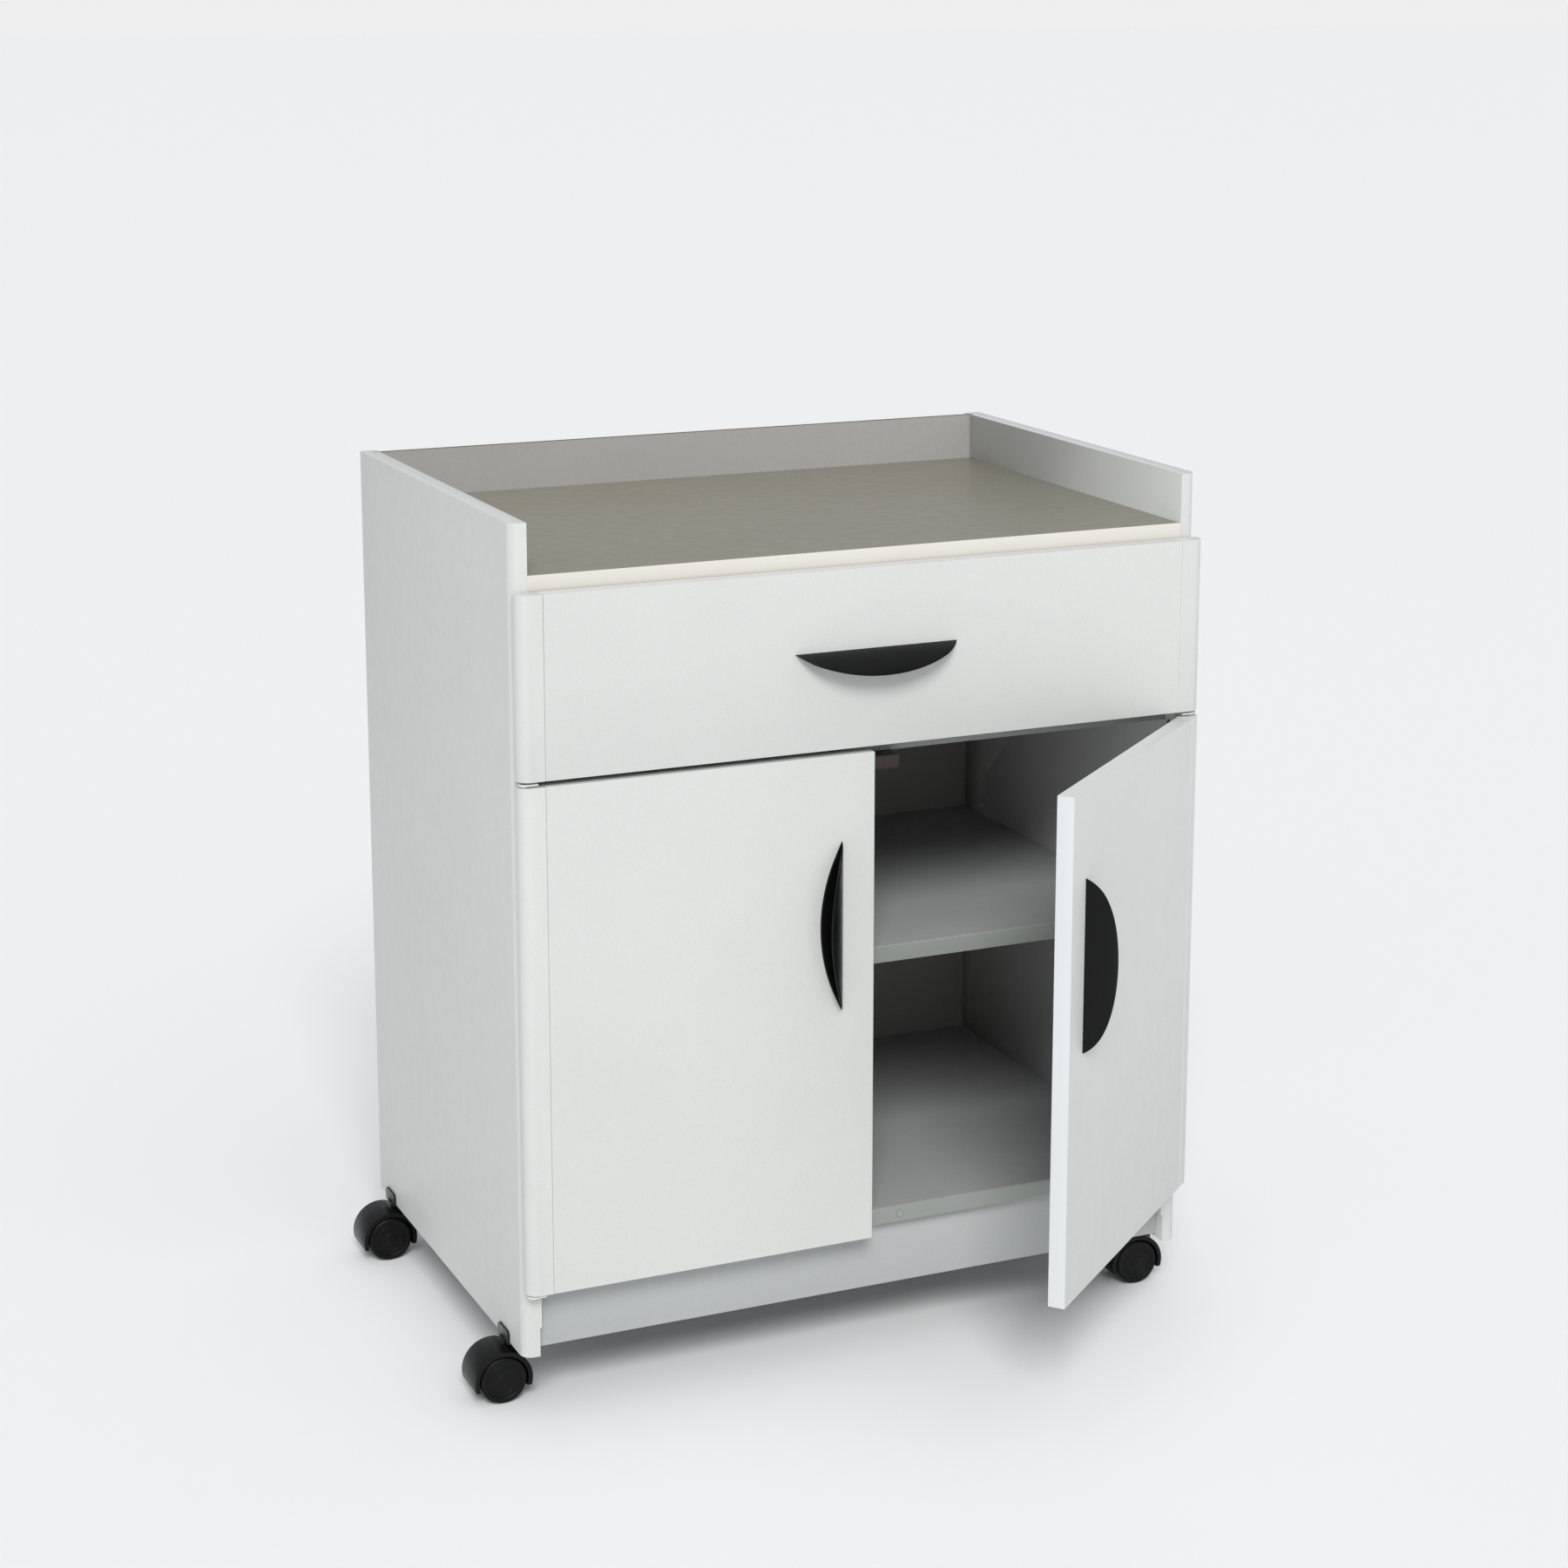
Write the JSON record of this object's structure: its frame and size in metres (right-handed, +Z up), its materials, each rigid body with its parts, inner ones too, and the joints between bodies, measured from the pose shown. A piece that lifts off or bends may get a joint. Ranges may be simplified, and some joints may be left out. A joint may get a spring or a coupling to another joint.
{
  "type": "mobile printer stand",
  "caption": "Laminated cabinet on twin-wheel casters with a rimmed deck, one wide drawer, two overlay doors with crescent pulls and a shelf.",
  "frame": {"origin": "on the floor under the middle of the cabinet's side panels", "axes": "+Z up, the fronts face -Y, +X to the cabinet's right as seen from the front"},
  "size_m": [0.806, 0.7608, 0.921],
  "materials": {
    "laminate": "light grey satin laminate on board",
    "deck_laminate": "warm grey satin laminate on board",
    "edge_band": "cream satin edge band",
    "hardboard": "hardboard with a painted front face",
    "pull_plastic": "black moulded plastic, satin",
    "hood_plastic": "black moulded nylon, satin",
    "wheel_plastic": "black moulded nylon, satin",
    "black_steel": "black enamel",
    "catch_plastic": "dark brown plastic, matt",
    "coated_steel": "light powder coat",
    "nylon": "natural nylon",
    "zinc_steel": "bright zinc plate"
  },
  "bodies": {
    "cabinet": {"left_side_panel": "laminate", "right_side_panel": "laminate", "deck_panel": "deck_laminate", "deck_edge_band": "edge_band", "bottom_panel": "laminate", "kick_plate": "laminate", "back_panel": "hardboard", "front_rail": "laminate", "shelf": "laminate", "shelf_pins": "zinc_steel", "cam_fasteners": "zinc_steel", "left_cabinet_runner": "coated_steel", "right_cabinet_runner": "coated_steel", "hinge_brackets": "coated_steel", "hinge_pins": "zinc_steel", "magnetic_catches": "catch_plastic", "door_bumpers": "nylon", "panel_screws": "zinc_steel", "caster_brackets": "black_steel", "caster_stems": "zinc_steel"},
    "drawer": {"left_drawer_runner": "coated_steel", "right_drawer_runner": "coated_steel", "drawer_front": "laminate", "drawer_front_mouldings": "laminate", "drawer_left_side": "laminate", "drawer_right_side": "laminate", "drawer_back": "laminate", "drawer_bottom": "laminate", "drawer_pull": "pull_plastic"},
    "left_door": {"left_door_panel": "laminate", "left_door_moulding": "laminate", "left_door_pull": "pull_plastic", "left_door_bushes": "nylon", "left_strike_plate": "zinc_steel"},
    "right_door": {"right_door_panel": "laminate", "right_door_moulding": "laminate", "right_door_pull": "pull_plastic", "right_door_bushes": "nylon", "right_strike_plate": "zinc_steel"},
    "front_left_caster": {"front_left_hood": "hood_plastic", "front_left_axle": "zinc_steel"},
    "front_left_wheel_a": {"front_left_wheel_a": "wheel_plastic"},
    "front_left_wheel_b": {"front_left_wheel_b": "wheel_plastic"},
    "front_right_caster": {"front_right_hood": "hood_plastic", "front_right_axle": "zinc_steel"},
    "front_right_wheel_a": {"front_right_wheel_a": "wheel_plastic"},
    "front_right_wheel_b": {"front_right_wheel_b": "wheel_plastic"},
    "rear_left_caster": {"rear_left_hood": "hood_plastic", "rear_left_axle": "zinc_steel"},
    "rear_left_wheel_a": {"rear_left_wheel_a": "wheel_plastic"},
    "rear_left_wheel_b": {"rear_left_wheel_b": "wheel_plastic"},
    "rear_right_caster": {"rear_right_hood": "hood_plastic", "rear_right_axle": "zinc_steel"},
    "rear_right_wheel_a": {"rear_right_wheel_a": "wheel_plastic"},
    "rear_right_wheel_b": {"rear_right_wheel_b": "wheel_plastic"},
    "left_cabinet_roller": {"left_cabinet_roller": "nylon"},
    "left_drawer_roller": {"left_drawer_roller": "nylon"},
    "right_cabinet_roller": {"right_cabinet_roller": "nylon"},
    "right_drawer_roller": {"right_drawer_roller": "nylon"}
  },
  "joints": [
    {"name": "drawer_slide", "type": "slide", "parent": "cabinet", "child": "drawer", "axis": [0, -1, 0], "range_m": [0, 0.34]},
    {"name": "left_door_hinge", "type": "hinge", "parent": "cabinet", "child": "left_door", "pos_m": [-0.374, -0.2615, 0.4], "axis": [0, 0, -1], "range_deg": [0, 110]},
    {"name": "right_door_hinge", "type": "hinge", "parent": "cabinet", "child": "right_door", "pos_m": [0.374, -0.2615, 0.4], "axis": [0, 0, 1], "range_deg": [-40.5, 69.5]},
    {"name": "front_left_swivel", "type": "hinge", "parent": "cabinet", "child": "front_left_caster", "pos_m": [-0.372, -0.1915, 0.045], "axis": [0, 0, 1], "continuous": true},
    {"name": "front_left_wheel_a_spin", "type": "hinge", "parent": "front_left_caster", "child": "front_left_wheel_a", "pos_m": [-0.39, -0.1915, 0.025], "axis": [0, 1, 0], "continuous": true},
    {"name": "front_left_wheel_b_spin", "type": "hinge", "parent": "front_left_caster", "child": "front_left_wheel_b", "pos_m": [-0.39, -0.1915, 0.025], "axis": [0, 1, 0], "continuous": true},
    {"name": "front_right_swivel", "type": "hinge", "parent": "cabinet", "child": "front_right_caster", "pos_m": [0.372, -0.1915, 0.045], "axis": [0, 0, 1], "continuous": true},
    {"name": "front_right_wheel_a_spin", "type": "hinge", "parent": "front_right_caster", "child": "front_right_wheel_a", "pos_m": [0.354, -0.1915, 0.025], "axis": [0, 1, 0], "continuous": true},
    {"name": "front_right_wheel_b_spin", "type": "hinge", "parent": "front_right_caster", "child": "front_right_wheel_b", "pos_m": [0.354, -0.1915, 0.025], "axis": [0, 1, 0], "continuous": true},
    {"name": "rear_left_swivel", "type": "hinge", "parent": "cabinet", "child": "rear_left_caster", "pos_m": [-0.372, 0.2065, 0.045], "axis": [0, 0, 1], "continuous": true},
    {"name": "rear_left_wheel_a_spin", "type": "hinge", "parent": "rear_left_caster", "child": "rear_left_wheel_a", "pos_m": [-0.39, 0.2065, 0.025], "axis": [0, 1, 0], "continuous": true},
    {"name": "rear_left_wheel_b_spin", "type": "hinge", "parent": "rear_left_caster", "child": "rear_left_wheel_b", "pos_m": [-0.39, 0.2065, 0.025], "axis": [0, 1, 0], "continuous": true},
    {"name": "rear_right_swivel", "type": "hinge", "parent": "cabinet", "child": "rear_right_caster", "pos_m": [0.372, 0.2065, 0.045], "axis": [0, 0, 1], "continuous": true},
    {"name": "rear_right_wheel_a_spin", "type": "hinge", "parent": "rear_right_caster", "child": "rear_right_wheel_a", "pos_m": [0.354, 0.2065, 0.025], "axis": [0, 1, 0], "continuous": true},
    {"name": "rear_right_wheel_b_spin", "type": "hinge", "parent": "rear_right_caster", "child": "rear_right_wheel_b", "pos_m": [0.354, 0.2065, 0.025], "axis": [0, 1, 0], "continuous": true},
    {"name": "left_cabinet_roller_spin", "type": "hinge", "parent": "cabinet", "child": "left_cabinet_roller", "pos_m": [-0.35675, -0.2335, 0.7017], "axis": [1, 0, 0], "continuous": true},
    {"name": "left_drawer_roller_spin", "type": "hinge", "parent": "drawer", "child": "left_drawer_roller", "pos_m": [-0.35675, 0.185, 0.703], "axis": [1, 0, 0], "continuous": true},
    {"name": "right_cabinet_roller_spin", "type": "hinge", "parent": "cabinet", "child": "right_cabinet_roller", "pos_m": [0.35675, -0.2335, 0.7017], "axis": [1, 0, 0], "continuous": true},
    {"name": "right_drawer_roller_spin", "type": "hinge", "parent": "drawer", "child": "right_drawer_roller", "pos_m": [0.35675, 0.185, 0.703], "axis": [1, 0, 0], "continuous": true}
  ]
}
